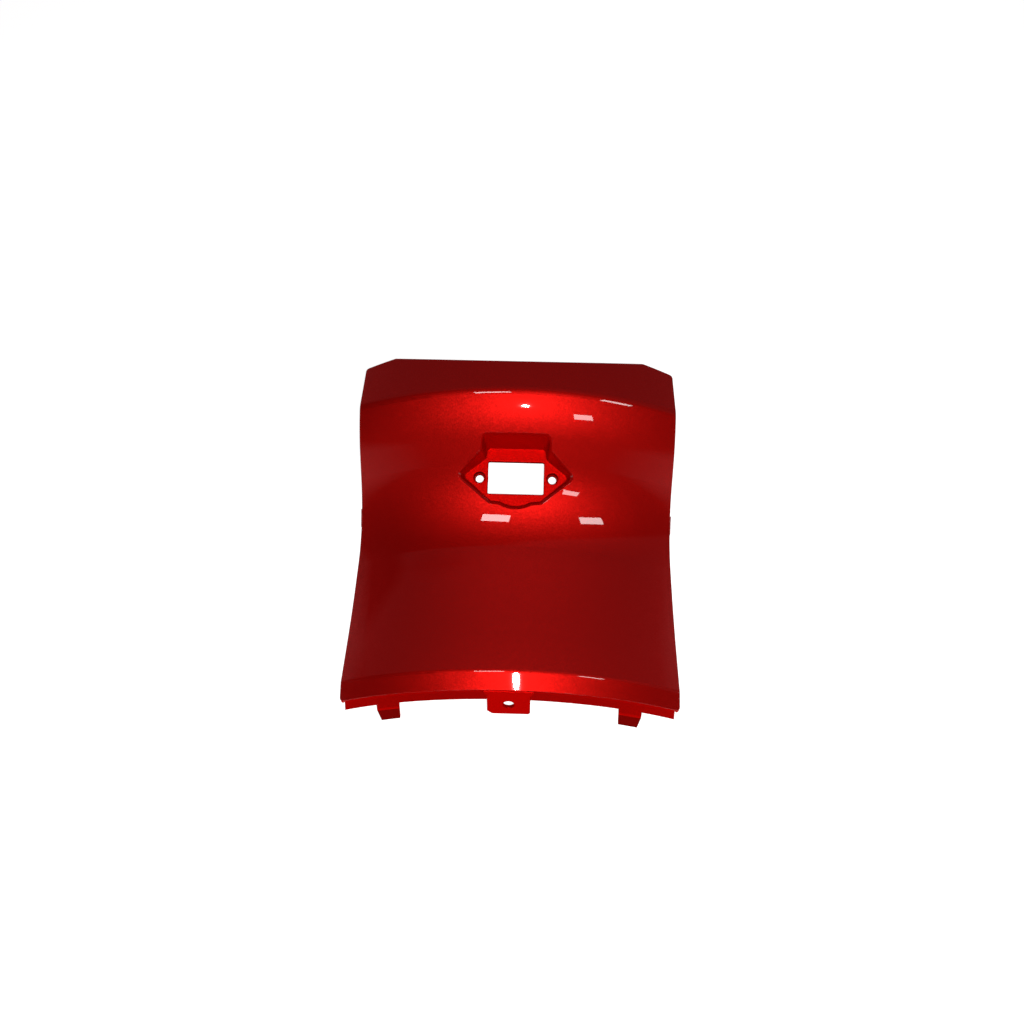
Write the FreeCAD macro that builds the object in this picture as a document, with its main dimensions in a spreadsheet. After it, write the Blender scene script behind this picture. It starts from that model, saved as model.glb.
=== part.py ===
"""Middle fairing connector: one moulded scooter panel, lying on its back with its face up."""
import FreeCAD
import Part
import Sketcher
import math
import os

# Driving sizes: alias, value in millimetres or degrees, meaning
SIZES = [
    ("cross_radius", 197.5, "radius of the cross arc at the bottom edge of the face"),
    ("bottom_width", 226.8, "plan width at the bottom edge"),
    ("top_width", 219.2, "plan width at the top corners"),
    ("panel_length", 228.1, "plan length from the bottom edge to the top corners"),
    ("top_flat_rise", 3.4, "rise of the top edge from a corner to the dip"),
    ("top_dip_width", 175.5, "width of the dip in the top edge"),
    ("top_dip", 12.7, "depth of the dip in the top edge"),
    ("wall", 2.5, "wall of the shell"),
    ("overhang", 14.0, "length of the raw forms outside the trimmed outline"),
    ("form_depth", 112.0, "depth of the raw forms below the bottom edge"),
    ("form_height", 120.0, "height of the raw plan outline above the bottom edge"),
    ("tool_reach", 40.0, "reach of the raw cutting tools"),
    ("band_run", 11.1, "straight run of the lower band"),
    ("band_angle", 18.0, "rise angle of the lower band"),
    ("foot_run", 27.3, "straight run above the lower crease"),
    ("foot_angle", 8.0, "fall angle above the lower crease"),
    ("lead_run", 15.0, "straight run below the valley"),
    ("lead_angle", 1.5, "fall angle below the valley"),
    ("riser_run", 19.3, "straight run of the steep riser"),
    ("riser_angle", 49.5, "rise angle of the steep riser"),
    ("cap_run", 3.0, "straight run below the upper crease"),
    ("cap_angle", 29.5, "rise angle below the upper crease"),
    ("flange_run", 38.0, "straight run of the top flange"),
    ("flange_angle", 8.0, "fall angle of the top flange"),
    ("lower_crease", 5.0, "outer radius of the lower crease"),
    ("panel_sweep", 430.0, "radius of the hollow lower panel"),
    ("valley", 65.7, "radius of the valley under the riser"),
    ("bulge", 75.0, "radius of the bulge above the riser"),
    ("upper_crease", 9.0, "outer radius of the upper crease"),
    ("return_depth", 4.5, "depth of the side returns below the face"),
    ("return_wall", 2.4, "wall of the side returns"),
    ("floor_back", 2.9, "hook seat centre, toward the bottom edge from the riser foot"),
    ("floor_depth", 15.2, "hook seat centre, below the riser foot"),
    ("floor_angle", 15.0, "rise angle of the hook seat"),
    ("floor_wall", 3.4, "thickness of the hook seat"),
    ("recess_wall", 2.4, "wall round the hook recess"),
    ("upper_draft_angle", 7.0, "draft of the recess walls from the tips to the head"),
    ("lower_draft_angle", 27.0, "draft of the recess walls from the tips to the finger notch"),
    ("head_width", 40.4, "width of the recess head"),
    ("head_rise", 21.0, "top of the recess head above the seat centre"),
    ("shoulder_width", 42.8, "width between the recess shoulders"),
    ("shoulder_rise", 13.3, "recess shoulders above the seat centre"),
    ("tip_width", 74.4, "width between the recess tips"),
    ("tip_rise", 0.5, "recess tips above the seat centre"),
    ("lower_width", 34.8, "width between the lower recess corners"),
    ("lower_fall", 16.7, "lower recess corners below the seat centre"),
    ("notch_width", 20.8, "width of the finger notch"),
    ("notch_fall", 17.4, "ends of the finger notch below the seat centre"),
    ("notch_depth", 2.9, "depth of the finger notch"),
    ("window_width", 39.0, "width of the hook window"),
    ("window_height", 23.2, "height of the hook window"),
    ("screw_spacing", 51.0, "distance between the hook screws"),
    ("screw_hole", 5.7, "diameter of the hook screw holes"),
    ("seat_hole", 8.0, "diameter of the sunk screw seats"),
    ("seat_depth", 4.4, "depth of the sunk screw seats"),
    ("boss_width", 12.6, "diameter of the screw bosses behind the seat"),
    ("boss_rise", 3.0, "height of the screw bosses behind the seat"),
    ("lip_drop", 1.8, "drop from the face to the joggle lip"),
    ("lip_root", 8.0, "length of the lip under the band"),
    ("lip_run", 6.6, "length of the lip in front of the band"),
    ("lip_angle", 45.0, "fall angle of the lip"),
    ("lip_wall", 2.2, "thickness of the lip"),
    ("lip_bend", 3.4, "outer bend radius of the lip and the side tabs"),
    ("lip_inset", 3.4, "lip end inside the side of the panel"),
    ("tab_width", 28.0, "width of the centre tab"),
    ("tab_ahead", 0.8, "root of the centre tab in front of the band edge"),
    ("tab_below", 1.6, "root of the centre tab below the band edge"),
    ("tab_length", 24.0, "length of the centre tab"),
    ("tab_angle", 72.0, "fall angle of the centre tab"),
    ("tab_wall", 2.5, "thickness of the centre tab"),
    ("tab_flare", 2.5, "widening of the centre tab at its root"),
    ("tab_flare_run", 5.0, "length of the widening of the centre tab"),
    ("tab_left_corner", 3.2, "left corner cut of the centre tab"),
    ("tab_right_corner", 1.3, "right corner cut of the centre tab"),
    ("tab_hole", 7.6, "diameter of the hole in the centre tab"),
    ("tab_hole_rise", 10.2, "hole centre above the tip of the centre tab"),
    ("side_tab_spacing", 158.9, "distance between the side tabs"),
    ("side_tab_width", 12.8, "width of a side tab at its tip"),
    ("side_tab_flare", 3.0, "widening of a side tab toward its root"),
    ("side_tab_shelf", 3.6, "length of a side tab from the lip to its bend"),
    ("side_tab_leg", 16.6, "length of a side tab below its bend"),
    ("side_tab_angle", 84.0, "fall angle of a side tab below its bend"),
    ("claw_place", 136.0, "claw centre from the bottom edge"),
    ("claw_width", 10.4, "width of a claw along the side"),
    ("claw_wall", 2.6, "thickness of a claw"),
    ("claw_proud", 0.8, "claw face outside the panel side"),
    ("claw_barb", 0.9, "barb of a claw outside its face"),
    ("claw_tip", 3.0, "height of the barb above the claw end"),
    ("claw_root", 4.5, "top of the barb above the claw end"),
    ("plan_round", 2.5, "corner radius of the plan outline"),
    ("recess_round", 3.0, "corner radius of the recess outline"),
    ("rim_bevel", 1.2, "width of the bevel along the rim of the recess"),
    ("window_round", 1.0, "corner radius of the hook window"),
]

# Shares of a full radius or bevel to try in turn, the reach of an equal point, and a slant's limit
SHARES = ("1", "0.5", "0.25")
TOUCH = 0.002
FLAT = 0.5
SPOTS = (0.1, 0.5, 0.9)

# Shares of the wall by which the corners of the recess move outward on its back
LOWER_SHARE = 0.6
TIP_SHARE = 1.4
SHOULDER_SHARE = 0.4

doc = FreeCAD.newDocument("middle_fairing_connector")
sheet = doc.addObject("Spreadsheet::Sheet", "Sizes")
for row, (alias, amount, meaning) in enumerate(SIZES, start=1):
    sheet.set("A%d" % row, meaning)
    sheet.set("B%d" % row, str(amount))
    sheet.setAlias("B%d" % row, alias)
doc.recompute()


def number(expression):
    """Present value of a sheet expression as a plain float."""
    value = sheet.evalExpression(expression)
    return float(getattr(value, "Value", value))


def size(alias):
    """Expression that reads one driving size."""
    return "Sizes." + alias


def across(level, offset):
    """Expression for the height at a distance from the middle of a point turned from the middle."""
    radius = size("cross_radius")
    return "(sqrt((%s + %s)^2 - (%s)^2) - %s)" % (radius, level, offset, radius)


def side(distance):
    """Expression for half the plan width at a distance from the bottom edge."""
    return "(%s - (%s - %s) * (%s) / %s) / 2" % (
        size("bottom_width"), size("bottom_width"), size("top_width"), distance, size("panel_length"))


def new_body(name):
    """Empty body with a label of its own."""
    body = doc.addObject("PartDesign::Body", name)
    body.Label = name
    return body


def new_sketch(body, name, plane, shift=("0", "0", "0"), tilt=None):
    """Sketch on one origin plane, moved and tilted about its own x axis by expressions."""
    sketch = body.newObject("Sketcher::SketchObject", name)
    support = next(item for item in body.Origin.OriginFeatures if item.Role == plane)
    sketch.AttachmentSupport = [(support, "")]
    sketch.MapMode = "FlatFace"
    base = FreeCAD.Vector(*[number(part) for part in shift])
    angle = number(tilt) if tilt else 0.0
    turn = FreeCAD.Rotation(FreeCAD.Vector(1, 0, 0), angle)
    sketch.AttachmentOffset = FreeCAD.Placement(base, turn)
    for letter, part in zip("xyz", shift):
        sketch.setExpression("AttachmentOffset.Base." + letter, part)
    if tilt:
        sketch.setExpression("AttachmentOffset.Rotation.Angle", tilt)
    return sketch


def dimension(sketch, name, expression, kind, *where):
    """Named driving dimension that follows its expression."""
    amount = number(expression)
    if kind == "Angle":
        amount = math.radians(amount)
    index = sketch.addConstraint(Sketcher.Constraint(kind, *where, amount))
    sketch.renameConstraint(index, name)
    sketch.setExpression("Constraints." + name, expression)


def add_outline(sketch, corners, name="p", arc_after=None, arc_radius=None):
    """Closed outline through corners given as expressions, with one hollow arc from left to right."""
    first = sketch.GeometryCount
    points = [FreeCAD.Vector(number(x), number(y), 0) for x, y in corners]
    count = len(points)
    for i, start in enumerate(points):
        end = points[(i + 1) % count]
        if i == arc_after:
            radius = number(arc_radius)
            half = (end.x - start.x) / 2
            middle = FreeCAD.Vector(start.x + half, start.y + math.sqrt(radius ** 2 - half ** 2), 0)
            spread = math.asin(half / radius)
            circle = Part.Circle(middle, FreeCAD.Vector(0, 0, 1), radius)
            low = 1.5 * math.pi
            sketch.addGeometry(Part.ArcOfCircle(circle, low - spread, low + spread))
        else:
            sketch.addGeometry(Part.LineSegment(start, end))
    for i in range(count):
        following = first + (i + 1) % count
        sketch.addConstraint(Sketcher.Constraint("Coincident", first + i, 2, following, 1))
    for i, (x, y) in enumerate(corners):
        dimension(sketch, "%s%d_x" % (name, i), x, "DistanceX", -1, 1, first + i, 1)
        dimension(sketch, "%s%d_y" % (name, i), y, "DistanceY", -1, 1, first + i, 1)
    if arc_after is not None:
        dimension(sketch, name + "_arc", arc_radius, "Radius", first + arc_after)
    return first


def add_circle(sketch, name, x, y, diameter):
    """Circle with its middle and diameter given as expressions."""
    middle = FreeCAD.Vector(number(x), number(y), 0)
    circle = Part.Circle(middle, FreeCAD.Vector(0, 0, 1), number(diameter) / 2)
    index = sketch.addGeometry(circle)
    dimension(sketch, name + "_x", x, "DistanceX", -1, 1, index, 3)
    dimension(sketch, name + "_y", y, "DistanceY", -1, 1, index, 3)
    dimension(sketch, name + "_size", diameter, "Diameter", index)


def add_chain(sketch, name, start, runs, radii):
    """Straight runs joined by tangent arcs; returns the first run, the last run and the run starts."""
    x = number(start[0])
    y = number(start[1])
    slopes = [math.radians(number(slope)) for _, slope in runs]
    lines = []
    joints = []
    for i, (length, _) in enumerate(runs):
        begin = FreeCAD.Vector(x, y, 0)
        x += number(length) * math.cos(slopes[i])
        y += number(length) * math.sin(slopes[i])
        lines.append(sketch.addGeometry(Part.LineSegment(begin, FreeCAD.Vector(x, y, 0))))
        if i == len(radii):
            break
        radius = number(radii[i])
        turn = 1 if slopes[i + 1] > slopes[i] else -1
        aside = turn * radius
        middle = FreeCAD.Vector(x - aside * math.sin(slopes[i]), y + aside * math.cos(slopes[i]), 0)
        angles = sorted(slope - turn * math.pi / 2 for slope in slopes[i:i + 2])
        circle = Part.Circle(middle, FreeCAD.Vector(0, 0, 1), radius)
        arc = sketch.addGeometry(Part.ArcOfCircle(circle, angles[0], angles[1]))
        joints.append((arc, turn))
        x = middle.x + aside * math.sin(slopes[i + 1])
        y = middle.y - aside * math.cos(slopes[i + 1])
    dimension(sketch, name + "_x", start[0], "DistanceX", -1, 1, lines[0], 1)
    dimension(sketch, name + "_y", start[1], "DistanceY", -1, 1, lines[0], 1)
    for i, (arc, turn) in enumerate(joints):
        enter = 1 if turn > 0 else 2
        sketch.addConstraint(Sketcher.Constraint("Tangent", lines[i], 2, arc, enter))
        sketch.addConstraint(Sketcher.Constraint("Tangent", arc, 3 - enter, lines[i + 1], 1))
        dimension(sketch, "%s_r%d" % (name, i), radii[i], "Radius", arc)
    for i, (length, slope) in enumerate(runs):
        dimension(sketch, "%s_l%d" % (name, i), length, "Distance", lines[i])
        dimension(sketch, "%s_a%d" % (name, i), slope, "Angle", lines[i])
    return lines


def join(sketch, first, first_end, second, second_end):
    """Straight line between two open ends of a sketch."""
    begin = sketch.getPoint(first, first_end)
    end = sketch.getPoint(second, second_end)
    line = sketch.addGeometry(Part.LineSegment(begin, end))
    sketch.addConstraint(Sketcher.Constraint("Coincident", first, first_end, line, 1))
    sketch.addConstraint(Sketcher.Constraint("Coincident", line, 2, second, second_end))
    return line


def turn_across(body, name, profile):
    """Turn a profile about the cross axis until it reaches past both sides of the panel."""
    radius = number(size("cross_radius"))
    begin = FreeCAD.Vector(0, -radius, 0)
    axis = profile.addGeometry(Part.LineSegment(begin, begin + FreeCAD.Vector(radius, 0, 0)), True)
    profile.addConstraint(Sketcher.Constraint("PointOnObject", axis, 1, -2))
    profile.addConstraint(Sketcher.Constraint("Horizontal", axis))
    dimension(profile, "axis_depth", "-" + size("cross_radius"), "DistanceY", -1, 1, axis, 1)
    dimension(profile, "axis_length", size("cross_radius"), "Distance", axis)
    turned = body.newObject("PartDesign::Revolution", name + "_turn")
    turned.Profile = profile
    turned.ReferenceAxis = (profile, ["Axis0"])
    turned.Midplane = True
    half_width = "(%s / 2 + %s)" % (size("bottom_width"), size("overhang"))
    least_radius = "(%s - %s)" % (size("cross_radius"), size("overhang"))
    turned.setExpression("Angle", "2 * asin(%s / %s)" % (half_width, least_radius))
    doc.recompute()
    return turned


def pad(body, name, sketch, ahead, behind=None):
    """Pad a sketch along its normal, with an optional second length behind it."""
    feature = body.newObject("PartDesign::Pad", name)
    feature.Profile = sketch
    feature.setExpression("Length", ahead)
    if behind:
        feature.SideType = "Two sides"
        feature.setExpression("Length2", behind)
    doc.recompute()
    return feature


def steep(edge):
    """True for an edge that runs mostly along the height of its pad."""
    along = edge.Vertexes[-1].Point - edge.Vertexes[0].Point
    return abs(along.z) > FLAT * along.Length


def body_round(body, name, radius, test):
    """Round the edges of a body's last feature that pass a test, smaller if it has to be."""
    last = body.Tip
    edges = ["Edge%d" % i for i, edge in enumerate(last.Shape.Edges, start=1) if test(edge)]
    feature = body.newObject("PartDesign::Fillet", name)
    feature.Base = (last, edges)
    for share in SHARES:
        feature.setExpression("Radius", "%s * %s" % (share, radius))
        doc.recompute()
        if feature.isValid() and feature.Shape.isValid():
            return feature
    raise RuntimeError("%s did not build" % name)


def combine(kind, name, base, tool):
    """Two-shape boolean with a label."""
    result = doc.addObject("Part::" + kind, name)
    result.Base = base
    result.Tool = tool
    result.Label = name
    doc.recompute()
    return result


def fuse(name, shapes):
    """Union of several shapes with a label."""
    result = doc.addObject("Part::MultiFuse", name)
    result.Shapes = shapes
    result.Label = name
    doc.recompute()
    return result


# Lengthwise profile of the face, lowered by an inset normal to it or straight down
RUNS = [
    ("%s + %s" % (size("band_run"), size("overhang")), size("band_angle")),
    (size("foot_run"), "-" + size("foot_angle")),
    (size("lead_run"), "-" + size("lead_angle")),
    (size("riser_run"), size("riser_angle")),
    (size("cap_run"), size("cap_angle")),
    ("%s + %s" % (size("flange_run"), size("overhang")), "-" + size("flange_angle")),
]
BENDS = [("lower_crease", -1), ("panel_sweep", 1), ("valley", 1), ("bulge", -1), ("upper_crease", -1)]
FORM_BASE = "-" + size("form_depth")


def face_form(name, inset, lowered="0"):
    """Solid under the face, swept across the panel."""
    body = new_body(name)
    profile = new_sketch(body, name + "_profile", "YZ_Plane", ("0", "-(%s)" % lowered, "0"))
    slope = size("band_angle")
    start = (
        "(%s) * sin(%s) - %s * cos(%s)" % (inset, slope, size("overhang"), slope),
        "-(%s) * cos(%s) - %s * sin(%s)" % (inset, slope, size("overhang"), slope),
    )
    radii = ["%s + %d * (%s)" % (size(alias), turn, inset) for alias, turn in BENDS]
    lines = add_chain(profile, "face", start, RUNS, radii)
    foot = profile.getPoint(lines[0], 1)
    top = profile.getPoint(lines[-1], 2)
    level = number(FORM_BASE)
    back = profile.addGeometry(Part.LineSegment(top, FreeCAD.Vector(top.x, level, 0)))
    front = profile.addGeometry(Part.LineSegment(FreeCAD.Vector(foot.x, level, 0), foot))
    profile.addConstraint(Sketcher.Constraint("Coincident", lines[-1], 2, back, 1))
    profile.addConstraint(Sketcher.Constraint("Coincident", front, 2, lines[0], 1))
    base = join(profile, back, 2, front, 1)
    profile.addConstraint(Sketcher.Constraint("Vertical", back))
    profile.addConstraint(Sketcher.Constraint("Vertical", front))
    profile.addConstraint(Sketcher.Constraint("Horizontal", base))
    dimension(profile, "base", FORM_BASE, "DistanceY", -1, 1, back, 2)
    for axis, kind in (("y", "DistanceX"), ("z", "DistanceY")):
        index = profile.addConstraint(Sketcher.Constraint(kind, -1, 1, lines[3], 1, 1.0))
        profile.setDriving(index, False)
        profile.renameConstraint(index, "riser_" + axis)
    turn_across(body, name, profile)
    return body


outer_form = face_form("outer_form", "0")
middle_form = face_form("middle_form", size("wall") + " / 2")
inner_form = face_form("inner_form", size("wall"))
return_form = face_form("return_form", "0", size("return_depth"))

# Plan outline, and the space between the side returns
plan = new_body("plan_outline")
plan_sketch = new_sketch(plan, "plan_sketch", "XY_Plane", ("0", "0", FORM_BASE))
HALF_BOTTOM = size("bottom_width") + " / 2"
HALF_TOP = size("top_width") + " / 2"
HALF_DIP = size("top_dip_width") + " / 2"
FLAT_END = "%s + %s" % (size("panel_length"), size("top_flat_rise"))
DIP_RADIUS = "((%s)^2 + %s^2) / (2 * %s)" % (HALF_DIP, size("top_dip"), size("top_dip"))
plan_corners = [
    ("-" + HALF_BOTTOM, "0"),
    ("-" + HALF_TOP, size("panel_length")),
    ("-" + HALF_DIP, FLAT_END),
    (HALF_DIP, FLAT_END),
    (HALF_TOP, size("panel_length")),
    (HALF_BOTTOM, "0"),
]
add_outline(plan_sketch, plan_corners, arc_after=2, arc_radius=DIP_RADIUS)
FORM_HEIGHT = "%s + %s" % (size("form_depth"), size("form_height"))
pad(plan, "plan_pad", plan_sketch, FORM_HEIGHT)
body_round(plan, "plan_corners", size("plan_round"), steep)

hollow = new_body("hollow_outline")
hollow_sketch = new_sketch(hollow, "hollow_sketch", "XY_Plane", ("0", "0", FORM_BASE))
HOLLOW_START = "-" + size("overhang")
HOLLOW_END = "%s + %s" % (FLAT_END, size("overhang"))
HALF_START = "(%s) - %s" % (side(HOLLOW_START), size("return_wall"))
HALF_END = "(%s) - %s" % (side(HOLLOW_END), size("return_wall"))
hollow_corners = [
    ("-(%s)" % HALF_START, HOLLOW_START),
    (HALF_START, HOLLOW_START),
    (HALF_END, HOLLOW_END),
    ("-(%s)" % HALF_END, HOLLOW_END),
]
add_outline(hollow_sketch, hollow_corners)
pad(hollow, "hollow_pad", hollow_sketch, FORM_HEIGHT)

# Hook seat frame: on the floor of the recess, tilted with it
SEAT_Y = "outer_form_profile.Constraints.riser_y / 1 mm - %s" % size("floor_back")
SEAT_Z = "outer_form_profile.Constraints.riser_z / 1 mm - %s" % size("floor_depth")


def seat_sketch(body, name, below="0"):
    """Sketch on the hook seat, or below it by a distance normal to the seat."""
    slope = size("floor_angle")
    shift = (
        "0",
        "%s + (%s) * sin(%s)" % (SEAT_Y, below, slope),
        "%s - (%s) * cos(%s)" % (SEAT_Z, below, slope),
    )
    return new_sketch(body, name, "XY_Plane", shift, slope)


def recess_corners(grow):
    """Recess outline from the finger notch round to the left, grown outward."""
    half = [
        (size("notch_width"), "-%s - %s" % (size("notch_fall"), grow), 0),
        (size("lower_width"), "-%s - %s" % (size("lower_fall"), grow), LOWER_SHARE),
        (size("tip_width"), size("tip_rise"), TIP_SHARE),
        (size("shoulder_width"), "%s + %s * %s" % (size("shoulder_rise"), SHOULDER_SHARE, grow), 1),
        (size("head_width"), "%s + %s" % (size("head_rise"), grow), 1),
    ]
    right = [("%s / 2 + %s * %s" % (width, share, grow), y) for width, y, share in half]
    left = [("-(%s)" % x, y) for x, y in right]
    return [left[0]] + right + left[:0:-1]


NOTCH_RADIUS = "((%s / 2)^2 + %s^2) / (2 * %s)" % (
    size("notch_width"), size("notch_depth"), size("notch_depth"))


def recess_block(name, grow, below):
    """Drafted block that opens outward from the hook seat."""
    body = new_body(name)
    sketch = seat_sketch(body, name + "_sketch", below)
    add_outline(sketch, recess_corners(grow), arc_after=0, arc_radius=NOTCH_RADIUS)
    pad(body, name + "_pad", sketch, "%s + %s" % (size("tool_reach"), below))
    inward = sketch.Placement.inverse()
    tips = number(size("tip_rise"))
    for part, sign in (("upper", 1), ("lower", -1)):
        last = body.Tip
        walls = []
        for i, face in enumerate(last.Shape.Faces, start=1):
            middle = inward.multVec(face.CenterOfMass)
            spot = face.Surface.parameter(face.CenterOfMass)
            slant = inward.Rotation.multVec(face.normalAt(*spot)).z
            if slant < -FLAT:
                seat = "Face%d" % i
            elif slant < FLAT and sign * (middle.y - tips) > 0:
                walls.append("Face%d" % i)
        draft = body.newObject("PartDesign::Draft", "%s_%s_draft" % (name, part))
        draft.Base = (last, walls)
        draft.NeutralPlane = (last, [seat])
        draft.Reversed = True
        draft.setExpression("Angle", size(part + "_draft_angle"))
        doc.recompute()
    return body


recess = recess_block("recess_tool", "0", "0")
body_round(recess, "recess_corners", size("recess_round"), steep)
tub = recess_block("recess_tub", size("recess_wall"), size("floor_wall"))

# Window and sunk screw holes through the hook seat, with bosses behind it
HALF_SPACING = size("screw_spacing") + " / 2"
THROUGH = "%s + %s" % (size("floor_wall"), size("boss_rise"))


def screw_tool(name, diameter, ahead, behind, top="0"):
    """Pair of round tools or bosses at the hook screws."""
    body = new_body(name)
    sketch = seat_sketch(body, name + "_sketch", top)
    add_circle(sketch, "right", HALF_SPACING, "0", diameter)
    add_circle(sketch, "left", "-" + HALF_SPACING, "0", diameter)
    pad(body, name + "_pad", sketch, ahead, behind)
    return body


BOSS_ROOT = size("floor_wall") + " / 2"
bosses = screw_tool("screw_bosses", size("boss_width"), BOSS_ROOT, size("boss_rise"), size("floor_wall"))
seats = screw_tool("screw_seats", size("seat_hole"), size("seat_depth"), size("seat_depth"))
holes = screw_tool("screw_holes", size("screw_hole"), size("boss_rise"), size("tool_reach"))

window = new_body("hook_window")
window_sketch = seat_sketch(window, "window_sketch")
HALF_WINDOW = size("window_width") + " / 2"
HALF_HEIGHT = size("window_height") + " / 2"
window_corners = [
    ("-" + HALF_WINDOW, "-" + HALF_HEIGHT),
    (HALF_WINDOW, "-" + HALF_HEIGHT),
    (HALF_WINDOW, HALF_HEIGHT),
    ("-" + HALF_WINDOW, HALF_HEIGHT),
]
add_outline(window_sketch, window_corners)
pad(window, "window_pad", window_sketch, THROUGH, THROUGH)
body_round(window, "window_corners", size("window_round"), steep)


# Joggle lip along the bottom edge, set back under the band
def strip(name, corner, runs, wall):
    """Bent strip turned across the panel, from its tip up to a corner and on under the band."""
    body = new_body(name)
    profile = new_sketch(body, name + "_profile", "YZ_Plane")
    (length, slope), (root, root_slope) = runs
    tangent = "%s * tan((%s - %s) / 2)" % (size("lip_bend"), slope, root_slope)
    start = (
        "%s - %s * cos(%s)" % (corner[0], length, slope),
        "%s - %s * sin(%s)" % (corner[1], length, slope),
    )
    back = ("%s + %s * sin(%s)" % (start[0], wall, slope), "%s - %s * cos(%s)" % (start[1], wall, slope))
    straight = [("%s - %s" % (length, tangent), slope), ("%s - %s" % (root, tangent), root_slope)]
    outer = add_chain(profile, "outer", start, straight, [size("lip_bend")])
    inner = add_chain(profile, "inner", back, straight, ["%s - %s" % (size("lip_bend"), wall)])
    join(profile, outer[0], 1, inner[0], 1)
    join(profile, outer[-1], 2, inner[-1], 2)
    turn_across(body, name, profile)
    return body, back[1]


LIP_Y = "%s * sin(%s)" % (size("lip_drop"), size("band_angle"))
LIP_Z = "-%s * cos(%s)" % (size("lip_drop"), size("band_angle"))
lip_runs = [(size("lip_run"), size("lip_angle")), (size("lip_root"), size("band_angle"))]
lip_strip, _ = strip("lip_strip", (LIP_Y, LIP_Z), lip_runs, size("lip_wall"))

lip_blocks = new_body("lip_blocks")
lip_sketch = new_sketch(lip_blocks, "lip_sketch", "XZ_Plane")
GAP_HALF = size("tab_width") + " / 2"
LIP_HALF = "(%s) - %s" % (side("0"), size("lip_inset"))
for sign, label in (("", "right"), ("-", "left")):
    ends = ["%s(%s)" % (sign, place) for place in (GAP_HALF, LIP_HALF)]
    lip_corners = [
        (ends[0], FORM_BASE),
        (ends[1], FORM_BASE),
        (ends[1], size("tool_reach")),
        (ends[0], size("tool_reach")),
    ]
    add_outline(lip_sketch, lip_corners, name=label)
pad(lip_blocks, "lip_pad", lip_sketch, size("tool_reach"), size("tool_reach"))

# Side tabs: they leave the lip, bend down and follow the cross arc
REACH = "(%s + %s)" % (size("lip_run"), size("side_tab_shelf"))
BEND_Y = "%s - %s * cos(%s)" % (LIP_Y, REACH, size("lip_angle"))
BEND_Z = "%s - %s * sin(%s)" % (LIP_Z, REACH, size("lip_angle"))
tab_runs = [(size("side_tab_leg"), size("side_tab_angle")), (REACH, size("lip_angle"))]
tab_strip, TAB_END = strip("side_tab_strip", (BEND_Y, BEND_Z), tab_runs, size("lip_wall"))
TAB_CORNER = "(%s + %s) / 2" % (size("side_tab_spacing"), size("side_tab_width"))
REST_LEVEL = across("(%s)" % TAB_END, TAB_CORNER)

tab_blocks = new_body("side_tab_blocks")
block_sketch = new_sketch(tab_blocks, "block_sketch", "XZ_Plane")
for sign, label in (("", "right"), ("-", "left")):
    outer_tip = "%s(%s - %s)" % (sign, TAB_CORNER, size("side_tab_flare"))
    outer_root = "%s(%s + %s)" % (sign, TAB_CORNER, size("side_tab_flare"))
    inner_edge = "%s - %s" % (TAB_CORNER, size("side_tab_width"))
    inner_root = "%s(%s - %s)" % (sign, inner_edge, size("side_tab_flare"))
    inner_tip = "%s(%s + %s)" % (sign, inner_edge, size("side_tab_flare"))
    low = "2 * (%s)" % REST_LEVEL
    block_corners = [(inner_tip, low), (outer_tip, low), (outer_root, "0"), (inner_root, "0")]
    add_outline(block_sketch, block_corners, name=label)
pad(tab_blocks, "block_pad", block_sketch, size("tool_reach"), size("tool_reach"))

# Centre tab with its screw hole
centre_tab = new_body("centre_tab")
tab_shift = ("0", "-" + size("tab_below"), size("tab_ahead"))
tab_sketch = new_sketch(centre_tab, "tab_sketch", "XZ_Plane", tab_shift, "-(90 - %s)" % size("tab_angle"))
HALF_TAB = size("tab_width") + " / 2"
TAB_ROOT = "%s + %s" % (HALF_TAB, size("tab_flare"))
TAB_TIP = "-" + size("tab_length")
tab_corners = [
    ("-(%s)" % TAB_ROOT, "0"),
    ("-" + HALF_TAB, "-" + size("tab_flare_run")),
    ("-" + HALF_TAB, "%s + %s" % (TAB_TIP, size("tab_left_corner"))),
    ("%s - %s" % (size("tab_left_corner"), HALF_TAB), TAB_TIP),
    ("%s - %s" % (HALF_TAB, size("tab_right_corner")), TAB_TIP),
    (HALF_TAB, "%s + %s" % (TAB_TIP, size("tab_right_corner"))),
    (HALF_TAB, "-" + size("tab_flare_run")),
    (TAB_ROOT, "0"),
]
add_outline(tab_sketch, tab_corners)
add_circle(tab_sketch, "hole", "0", "%s + %s" % (TAB_TIP, size("tab_hole_rise")), size("tab_hole"))
tab_pad = pad(centre_tab, "tab_pad", tab_sketch, size("tab_wall"))
tab_pad.Reversed = True

# Side claws on the returns, ending level with the side tabs
claw_blocks = new_body("claw_blocks")
CLAW_HALF = size("claw_width") + " / 2"
claw_sketch = new_sketch(claw_blocks, "claw_sketch", "XZ_Plane", ("0", "0", "-" + size("claw_place")))
CLAW_SIDE = side(size("claw_place"))
CLAW_FACE = "%s + %s" % (CLAW_SIDE, size("claw_proud"))
CLAW_BACK = "%s - %s" % (CLAW_FACE, size("claw_wall"))
CLAW_BARB = "%s + %s" % (CLAW_FACE, size("claw_barb"))
for sign, label in (("", "right"), ("-", "left")):
    claw_corners = [
        ("%s(%s)" % (sign, CLAW_BACK), REST_LEVEL),
        ("%s(%s)" % (sign, CLAW_FACE), REST_LEVEL),
        ("%s(%s)" % (sign, CLAW_BARB), "%s + %s" % (REST_LEVEL, size("claw_tip"))),
        ("%s(%s)" % (sign, CLAW_FACE), "%s + %s" % (REST_LEVEL, size("claw_root"))),
        ("%s(%s)" % (sign, CLAW_FACE), size("panel_length")),
        ("%s(%s)" % (sign, CLAW_BACK), size("panel_length")),
    ]
    add_outline(claw_sketch, claw_corners, name=label)
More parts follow.
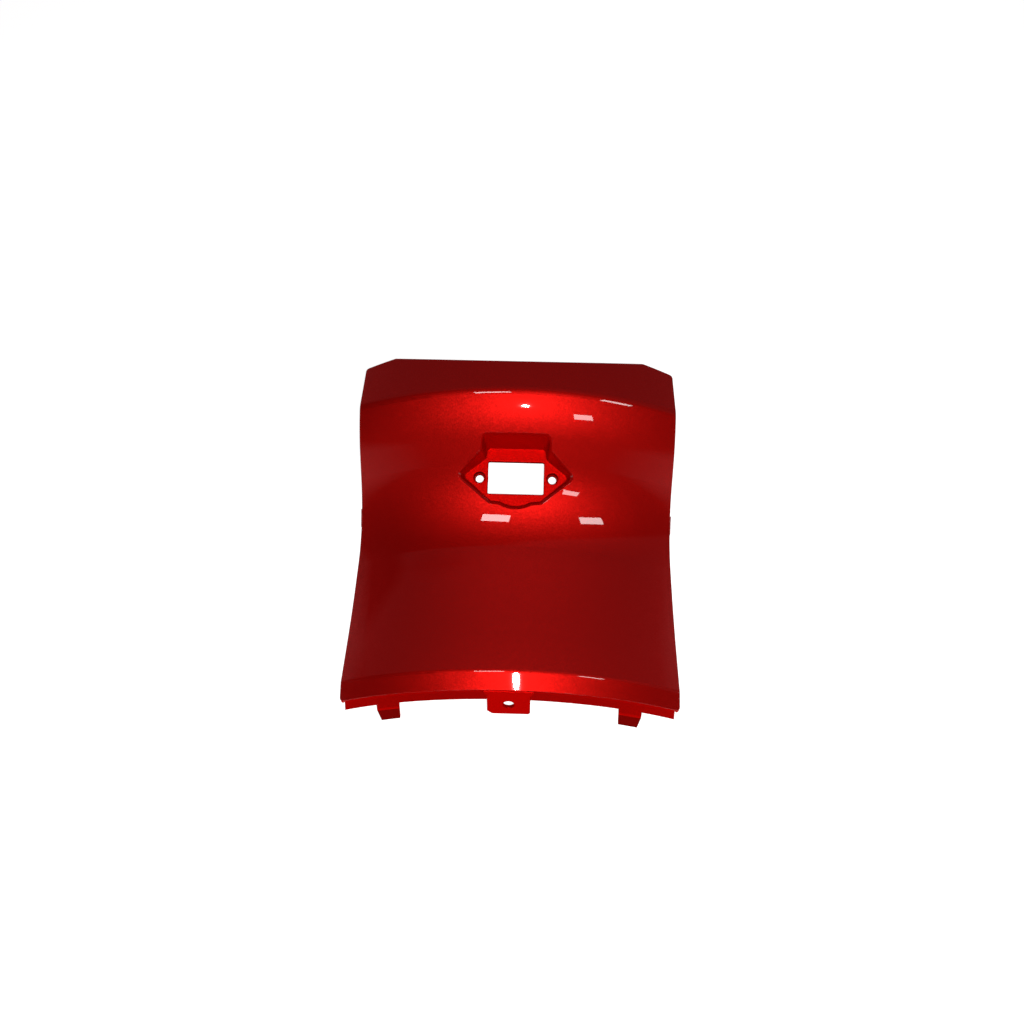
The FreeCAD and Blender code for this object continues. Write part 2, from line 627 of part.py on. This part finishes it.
pad(claw_blocks, "claw_pad", claw_sketch, CLAW_HALF, CLAW_HALF)
doc.recompute()

# One moulding
shell = combine("Cut", "shell", outer_form, inner_form)
skirt = combine("Cut", "skirt", middle_form, return_form)
returns = combine("Cut", "side_returns", skirt, hollow)
tub_block = combine("Common", "tub_block", tub, middle_form)
raw_panel = fuse("raw_panel", [shell, returns, tub_block])
trimmed = combine("Common", "trimmed_panel", raw_panel, plan)
lip = combine("Common", "joggle_lip", lip_strip, lip_blocks)
side_tabs = combine("Common", "side_tabs", tab_strip, tab_blocks)
claws = combine("Common", "side_claws", claw_blocks, middle_form)
moulding = fuse("moulding", [trimmed, lip, centre_tab, side_tabs, claws, bosses])
tools = fuse("hook_openings", [recess, window, seats, holes])
cut_panel = combine("Cut", "cut_panel", moulding, tools)


def shared_edges(shape, first, second):
    """Numbers of the edges of a shape that lie on the faces of two bodies."""
    faces = [Part.Compound(body.Shape.Faces) for body in (first, second)]
    found = []
    for i, edge in enumerate(shape.Edges, start=1):
        span = edge.LastParameter - edge.FirstParameter
        points = [edge.valueAt(edge.FirstParameter + spot * span) for spot in SPOTS]
        ends = [Part.Vertex(point) for point in points]
        if all(end.distToShape(face)[0] < TOUCH for end in ends for face in faces):
            found.append(i)
    return found


# Bevelled rim of the recess, narrower if it has to be
rim_edges = shared_edges(cut_panel.Shape, outer_form, recess)
panel = doc.addObject("Part::Chamfer", "fairing_panel")
panel.Label = "fairing_panel"
panel.Base = cut_panel
for share in SHARES:
    bevel = number("%s * %s" % (share, size("rim_bevel")))
    panel.Edges = [(i, bevel, bevel) for i in rim_edges]
    doc.recompute()
    if panel.isValid() and panel.Shape.isValid() and len(panel.Shape.Solids) == 1:
        break

# Checks before export
for item in doc.Objects:
    if "Invalid" in item.State or "Error" in item.State:
        raise RuntimeError("%s did not build" % item.Label)
if panel.Shape.isNull() or not panel.Shape.isValid() or len(panel.Shape.Solids) != 1:
    raise RuntimeError("the panel is not one valid solid")

# Rest frame: origin at the bottom centre of the bounding box
box = panel.Shape.optimalBoundingBox()
middle = box.Center
panel.Placement.Base = FreeCAD.Vector(-middle.x, -middle.y, -box.ZMin)

os.makedirs("parts", exist_ok=True)
panel.Shape.exportStep("parts/fairing_panel.step")
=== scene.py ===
import bpy
import math
from mathutils import Matrix, Vector
from mathutils.bvhtree import BVHTree

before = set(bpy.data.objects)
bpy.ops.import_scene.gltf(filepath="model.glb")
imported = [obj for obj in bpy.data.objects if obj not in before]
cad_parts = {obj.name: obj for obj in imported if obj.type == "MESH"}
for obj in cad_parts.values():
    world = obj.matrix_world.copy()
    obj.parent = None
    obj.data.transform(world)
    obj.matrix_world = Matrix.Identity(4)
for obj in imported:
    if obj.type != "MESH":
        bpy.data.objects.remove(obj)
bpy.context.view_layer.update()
scene = bpy.context.scene
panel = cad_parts["fairing_panel"]

# Camera fitted to the photograph: elevation, swing, tilt, distance and aim point, in metres
ELEVATION = math.radians(63.0)
SWING = math.radians(2.743)
ROLL = math.radians(-1.017)
DISTANCE = 0.700
AIM = Vector((-0.00166, 0.01046, 0.05865))
FOCAL_PX = 1029.4
IMAGE_PX = 1024
SENSOR = 36.0

# Order of the materials on the panel
PAINT, THIN_PAINT, SHADED_OVERSPRAY, BARE = range(4)

# Spray gun: its leans from upright, its turns, and the slant at which it still covers a face
GUN_LEANS = (20, 40, 60)
GUN_TURN = 30
GUN_SLANT = 0.1
RAY_START = 0.00005

# Share of the spray directions that must reach a face before it takes paint, and the upward facing
# that it needs to take clear coat
OPEN_SHARE = 0.2
COAT_FACING = 0.35

# Hook seat: its middle and slope, the limits of the recess, and the window and sunk screw seats in it
SEAT = Vector((0.0, 0.04067, 0.05185))
SEAT_SLOPE = math.radians(15.0)
RECESS_HALF = 0.046
RECESS_FALL = -0.031
RECESS_RISE = 0.029
WINDOW_HALF = (0.0196, 0.0117)
SCREW_AT = 0.0255
SCREW_SEAT = 0.0041

# How far the bevelled rim of the recess faces along the seat's normal, between its walls and its floor
RIM_FACING_LOW = 0.6
RIM_FACING_HIGH = 0.95

# Lower edge, in front of which the lip and the tabs take no clear coat, and the height under which
# the legs of the tabs take a darker red as painted shade
LOWER_EDGE = -0.1114
LEG_HEIGHT = 0.016

# Floor: its size and the share of white that it shows by itself
FLOOR_SIZE = 60.0
FLOOR_GLOW = 0.9

# Room: light of its dark side and of its warm wall, the two edges of that wall, and the grey backdrop
ROOM_LIGHT = 0.006
WALL_LIGHT = 0.12
WALL_COLOUR = (1.0, 0.22, 0.22, 1.0)
WALL_EDGES = ((0.18, 0.67, -0.28), (0.50, 0.84, 0.0))
WALL_SOFTNESS = 0.02
BACKDROP_LIGHT = 0.12
BACKDROP_TOP = 0.26

# Flash beside the camera: its offset, the point that it faces, its size and its brightness
FLASH_OFFSET = Vector((0.012, -0.0073, 0.0))
MIDDLE = Vector((0.0, 0.0, 0.05))
FLASH_SIZE = (0.03, 0.017)
FLASH_RADIANCE = 4150.0

# Room lamps that show in the clear coat: name, the point of the panel where the lamp shows, direction
# to the lamp, width, height, brightness and turn in degrees
LAMP_DISTANCE = 1.5
ROOM_LAMPS = (
    ("overhead", (-0.013, 0.012, 0.046), (-0.161, -0.095, 0.982), 0.34, 0.19, 6.2, 7.0),
    ("beside", (0.053, 0.014, 0.040), (0.539, -0.150, 0.829), 0.29, 0.18, 5.7, -14.0),
    ("ahead", (0.041, 0.049, 0.070), (0.340, -0.620, 0.706), 0.17, 0.14, 4.7, 0.0))


def add_camera():
    """Camera at the photograph's place, looking down on the panel."""
    back = Vector((
        math.sin(SWING) * math.cos(ELEVATION),
        -math.cos(SWING) * math.cos(ELEVATION),
        math.sin(ELEVATION)))
    right = (-back).cross(Vector((0, 0, 1))).normalized()
    up = right.cross(-back)
    turned_right = right * math.cos(ROLL) + up * math.sin(ROLL)
    turned_up = up * math.cos(ROLL) - right * math.sin(ROLL)
    data = bpy.data.cameras.new("photo_camera")
    data.sensor_width = SENSOR
    data.lens = SENSOR * FOCAL_PX / IMAGE_PX
    data.clip_start = 0.01
    camera = bpy.data.objects.new("photo_camera", data)
    scene.collection.objects.link(camera)
    basis = Matrix((turned_right, turned_up, back)).transposed().to_4x4()
    camera.matrix_world = Matrix.Translation(AIM + back * DISTANCE) @ basis
    scene.camera = camera
    return camera


def new_material(name):
    """Empty node material with an output and a principled shader."""
    material = bpy.data.materials.new(name)
    material.use_nodes = True
    nodes = material.node_tree.nodes
    nodes.clear()
    output = nodes.new("ShaderNodeOutputMaterial")
    shader = nodes.new("ShaderNodeBsdfPrincipled")
    material.node_tree.links.new(shader.outputs["BSDF"], output.inputs["Surface"])
    return material, shader


def operator(nodes, kind, operation):
    """New node that does one calculation."""
    node = nodes.new(kind)
    node.operation = operation
    return node


def paint_material(name, red, metallic, coat, rounding):
    """Deep red metallic paint with fine flakes, softened edges and a clear coat of a given strength."""
    material, shader = new_material(name)
    nodes = material.node_tree.nodes
    link = material.node_tree.links.new
    place = nodes.new("ShaderNodeTexCoord")
    flakes = nodes.new("ShaderNodeTexVoronoi")
    flakes.inputs["Scale"].default_value = 2400.0
    link(place.outputs["Object"], flakes.inputs["Vector"])
    bevel = nodes.new("ShaderNodeBevel")
    bevel.samples = 6
    bevel.inputs["Radius"].default_value = rounding
    centred = operator(nodes, "ShaderNodeVectorMath", "SUBTRACT")
    centred.inputs[1].default_value = (0.5, 0.5, 0.5)
    link(flakes.outputs["Color"], centred.inputs[0])
    lean = operator(nodes, "ShaderNodeVectorMath", "SCALE")
    lean.inputs["Scale"].default_value = 0.16
    link(centred.outputs["Vector"], lean.inputs[0])
    tilted = operator(nodes, "ShaderNodeVectorMath", "ADD")
    link(bevel.outputs["Normal"], tilted.inputs[0])
    link(lean.outputs["Vector"], tilted.inputs[1])
    level = operator(nodes, "ShaderNodeVectorMath", "NORMALIZE")
    link(tilted.outputs["Vector"], level.inputs[0])
    link(level.outputs["Vector"], shader.inputs["Normal"])
    link(bevel.outputs["Normal"], shader.inputs["Coat Normal"])
    shader.inputs["Base Color"].default_value = (red, 0.002, 0.0014, 1.0)
    shader.inputs["Metallic"].default_value = metallic
    shader.inputs["Specular IOR Level"].default_value = 0.4 * coat
    shader.inputs["Specular Tint"].default_value = (1.0, 0.4, 0.3, 1.0)
    shader.inputs["Roughness"].default_value = 0.52
    shader.inputs["Coat Weight"].default_value = coat
    shader.inputs["Coat Roughness"].default_value = 0.02
    shader.inputs["Coat IOR"].default_value = 1.8
    return material


def bare_material():
    """Bare black plastic of the moulded back, with a fine grain."""
    material, shader = new_material("bare_black_plastic")
    nodes = material.node_tree.nodes
    link = material.node_tree.links.new
    place = nodes.new("ShaderNodeTexCoord")
    grain = nodes.new("ShaderNodeTexNoise")
    grain.inputs["Scale"].default_value = 900.0
    grain.inputs["Detail"].default_value = 3.0
    link(place.outputs["Object"], grain.inputs["Vector"])
    bump = nodes.new("ShaderNodeBump")
    bump.inputs["Strength"].default_value = 0.25
    bump.inputs["Distance"].default_value = 0.0002
    link(grain.outputs["Fac"], bump.inputs["Height"])
    link(bump.outputs["Normal"], shader.inputs["Normal"])
    shader.inputs["Base Color"].default_value = (0.016, 0.016, 0.017, 1.0)
    shader.inputs["Roughness"].default_value = 0.6
    return material


def islands(mesh):
    """Lists of polygons that share vertices, one list per CAD face."""
    owner = list(range(len(mesh.vertices)))

    def root(i):
        while owner[i] != i:
            owner[i] = owner[owner[i]]
            i = owner[i]
        return i

    for polygon in mesh.polygons:
        first = root(polygon.vertices[0])
        for vertex in polygon.vertices[1:]:
            owner[root(vertex)] = first
    groups = {}
    for polygon in mesh.polygons:
        groups.setdefault(root(polygon.vertices[0]), []).append(polygon)
    return list(groups.values())


def on_seat(point):
    """Place of a point across and along the hook seat."""
    away = point - SEAT
    return away.x, away.y * math.cos(SEAT_SLOPE) + away.z * math.sin(SEAT_SLOPE)


def in_recess(point):
    """True for a point within the outline of the hook recess."""
    across, along = on_seat(point)
    return abs(across) < RECESS_HALF and RECESS_FALL < along < RECESS_RISE


def on_lower_rim(middle, facing):
    """True for a bevelled edge on the lower half of the recess, which takes clear coat."""
    upright = facing.z * math.cos(SEAT_SLOPE) - facing.y * math.sin(SEAT_SLOPE)
    return on_seat(middle)[1] < 0 and RIM_FACING_LOW < upright < RIM_FACING_HIGH


def in_hook_holes(point):
    """True for a point in the hook window or in a sunk screw seat."""
    across, along = on_seat(point)
    in_window = abs(across) < WINDOW_HALF[0] and abs(along) < WINDOW_HALF[1]
    return in_window or math.hypot(abs(across) - SCREW_AT, along) < SCREW_SEAT


def spray_directions():
    """Directions to a spray gun that is moved about in front of the panel."""
    up = Vector((0, 0, 1))
    guns = [up]
    for lean in GUN_LEANS:
        for turn in range(0, 360, GUN_TURN):
            tilt = Matrix.Rotation(math.radians(lean), 3, "X")
            swing = Matrix.Rotation(math.radians(turn), 3, "Z")
            guns.append(swing @ tilt @ up)
    return guns


def openness(polygon, guns, tree):
    """Share of the spray directions that reach a polygon."""
    start = polygon.center + polygon.normal * RAY_START
    facing = [gun for gun in guns if polygon.normal.dot(gun) > GUN_SLANT]
    return sum(1 for gun in facing if tree.ray_cast(start, gun)[0] is None) / len(guns)


def finish_of(group, mesh, guns, tree):
    """Material that one CAD face takes, from its place, its facing and how open it is to the spray."""
    area = sum(polygon.area for polygon in group)
    reached = sum(polygon.area * openness(polygon, guns, tree) for polygon in group)
    middle = sum((polygon.area * polygon.center for polygon in group), Vector()) / area
    facing = sum((polygon.area * polygon.normal for polygon in group), Vector()) / area
    corners = [mesh.vertices[i].co for polygon in group for i in polygon.vertices]
    # The hook window and the sunk screw seats take the darker red: thin overspray darkened as painted
    # shade
    if all(in_hook_holes(corner) for corner in corners):
        return SHADED_OVERSPRAY
    if reached < OPEN_SHARE * area:
        return BARE
    if middle.y < LOWER_EDGE:
        # Legs of the tabs below that height take the darker red as painted shade, and the lip and upper
        # tabs take paint without clear coat
        return SHADED_OVERSPRAY if middle.z < LEG_HEIGHT else THIN_PAINT
    if all(in_recess(corner) for corner in corners):
        return PAINT if on_lower_rim(middle, facing) else THIN_PAINT
    return PAINT if facing.z > COAT_FACING else THIN_PAINT


def paint_front(obj, materials):
    """Paint the faces that lie open to a spray gun in front of the panel, and leave the others bare."""
    mesh = obj.data
    tree = BVHTree.FromPolygons(
        [v.co for v in mesh.vertices], [tuple(p.vertices) for p in mesh.polygons])
    guns = spray_directions()
    mesh.materials.clear()
    for index in sorted(materials):
        mesh.materials.append(materials[index])
    for group in islands(mesh):
        index = finish_of(group, mesh, guns, tree)
        for polygon in group:
            polygon.material_index = index


def add_floor():
    """Plain white floor that keeps the panel's shadow."""
    bpy.ops.mesh.primitive_plane_add(size=FLOOR_SIZE, location=(0, 0, 0))
    floor = bpy.context.object
    floor.name = "floor"
    material, shader = new_material("white_floor")
    shader.inputs["Base Color"].default_value = (0.45, 0.45, 0.45, 1.0)
    shader.inputs["Roughness"].default_value = 0.9
    shader.inputs["Specular IOR Level"].default_value = 0.0
    nodes = material.node_tree.nodes
    link = material.node_tree.links.new
    path = nodes.new("ShaderNodeLightPath")
    seen = path.outputs["Is Camera Ray"]
    for other in ("Is Glossy Ray", "Is Transmission Ray"):
        either = operator(nodes, "ShaderNodeMath", "MAXIMUM")
        link(seen, either.inputs[0])
        link(path.outputs[other], either.inputs[1])
        seen = either.outputs["Value"]
    glow = operator(nodes, "ShaderNodeMath", "MULTIPLY")
    glow.inputs[1].default_value = FLOOR_GLOW
    link(seen, glow.inputs[0])
    shader.inputs["Emission Color"].default_value = (1, 1, 1, 1)
    link(glow.outputs["Value"], shader.inputs["Emission Strength"])
    floor.data.materials.append(material)


def add_lamp(name, place, target, width, height, radiance, turn=0.0, shape="RECTANGLE"):
    """Flat soft lamp of a given brightness that faces a target, with its width level or turned."""
    data = bpy.data.lights.new(name, "AREA")
    data.shape = shape
    data.size = width
    data.size_y = height
    area = width * height * (1.0 if shape == "RECTANGLE" else math.pi / 4)
    data.energy = radiance * math.pi * area
    lamp = bpy.data.objects.new(name, data)
    scene.collection.objects.link(lamp)
    back = (place - target).normalized()
    level = Vector((math.cos(turn), math.sin(turn), 0))
    wide = (level - back * back.dot(level)).normalized()
    basis = Matrix((wide, back.cross(wide), back)).transposed().to_4x4()
    lamp.matrix_world = Matrix.Translation(place) @ basis


def add_world():
    """Dim room with a warm wall behind the panel and a low grey backdrop all round."""
    world = bpy.data.worlds.new("dim_room")
    scene.world = world
    world.use_nodes = True
    nodes = world.node_tree.nodes
    link = world.node_tree.links.new
    nodes.clear()
    output = nodes.new("ShaderNodeOutputWorld")
    place = nodes.new("ShaderNodeTexCoord")

    room = nodes.new("ShaderNodeBackground")
    room.inputs["Color"].default_value = WALL_COLOUR
    inside = operator(nodes, "ShaderNodeMath", "MINIMUM")
    for edge, socket in zip(WALL_EDGES, inside.inputs):
        beyond = operator(nodes, "ShaderNodeVectorMath", "DOT_PRODUCT")
        beyond.inputs[1].default_value = edge
        link(place.outputs["Generated"], beyond.inputs[0])
        link(beyond.outputs["Value"], socket)
    step = nodes.new("ShaderNodeMapRange")
    step.inputs["From Min"].default_value = -WALL_SOFTNESS
    step.inputs["From Max"].default_value = WALL_SOFTNESS
    step.inputs["To Min"].default_value = ROOM_LIGHT
    step.inputs["To Max"].default_value = WALL_LIGHT
    link(inside.outputs["Value"], step.inputs["Value"])
    link(step.outputs["Result"], room.inputs["Strength"])

    backdrop = nodes.new("ShaderNodeBackground")
    backdrop.inputs["Color"].default_value = (1.0, 1.0, 1.0, 1.0)
    backdrop.inputs["Strength"].default_value = BACKDROP_LIGHT
    axes = nodes.new("ShaderNodeSeparateXYZ")
    link(place.outputs["Generated"], axes.inputs["Vector"])
    low = nodes.new("ShaderNodeMapRange")
    low.inputs["From Min"].default_value = BACKDROP_TOP
    low.inputs["From Max"].default_value = 0.0
    link(axes.outputs["Z"], low.inputs["Value"])

    mix = nodes.new("ShaderNodeMixShader")
    link(low.outputs["Result"], mix.inputs["Fac"])
    link(room.outputs["Background"], mix.inputs[1])
    link(backdrop.outputs["Background"], mix.inputs[2])
    link(mix.outputs["Shader"], output.inputs["Surface"])


def add_lamps(camera):
    """Flash beside the camera, and the room lamps that show in the clear coat."""
    flash_place = camera.matrix_world.translation + FLASH_OFFSET
    add_lamp("key", flash_place, MIDDLE, *FLASH_SIZE, FLASH_RADIANCE, shape="ELLIPSE")
    for name, seen_at, direction, width, height, radiance, turn in ROOM_LAMPS:
        target = Vector(seen_at)
        place = target + LAMP_DISTANCE * Vector(direction)
        add_lamp(name, place, target, width, height, radiance, math.radians(turn))


photo_camera = add_camera()
paint_front(panel, {
    PAINT: paint_material("red_metallic_paint", red=0.42, metallic=0.8, coat=1.0, rounding=0.0005),
    THIN_PAINT: paint_material("red_thin_paint", red=0.42, metallic=0.8, coat=0.0, rounding=0.0012),
    # Darker, less metallic red overspray that is partly painted shade: it stands in for the shade in
    # the hook window, in the sunk screw seats and on the steep legs of the tabs
    SHADED_OVERSPRAY: paint_material("red_overspray_painted_shade", red=0.22, metallic=0.2, coat=0.0, rounding=0.0005),
    BARE: bare_material()})
add_floor()
add_world()
add_lamps(photo_camera)

scene.view_settings.view_transform = "Standard"
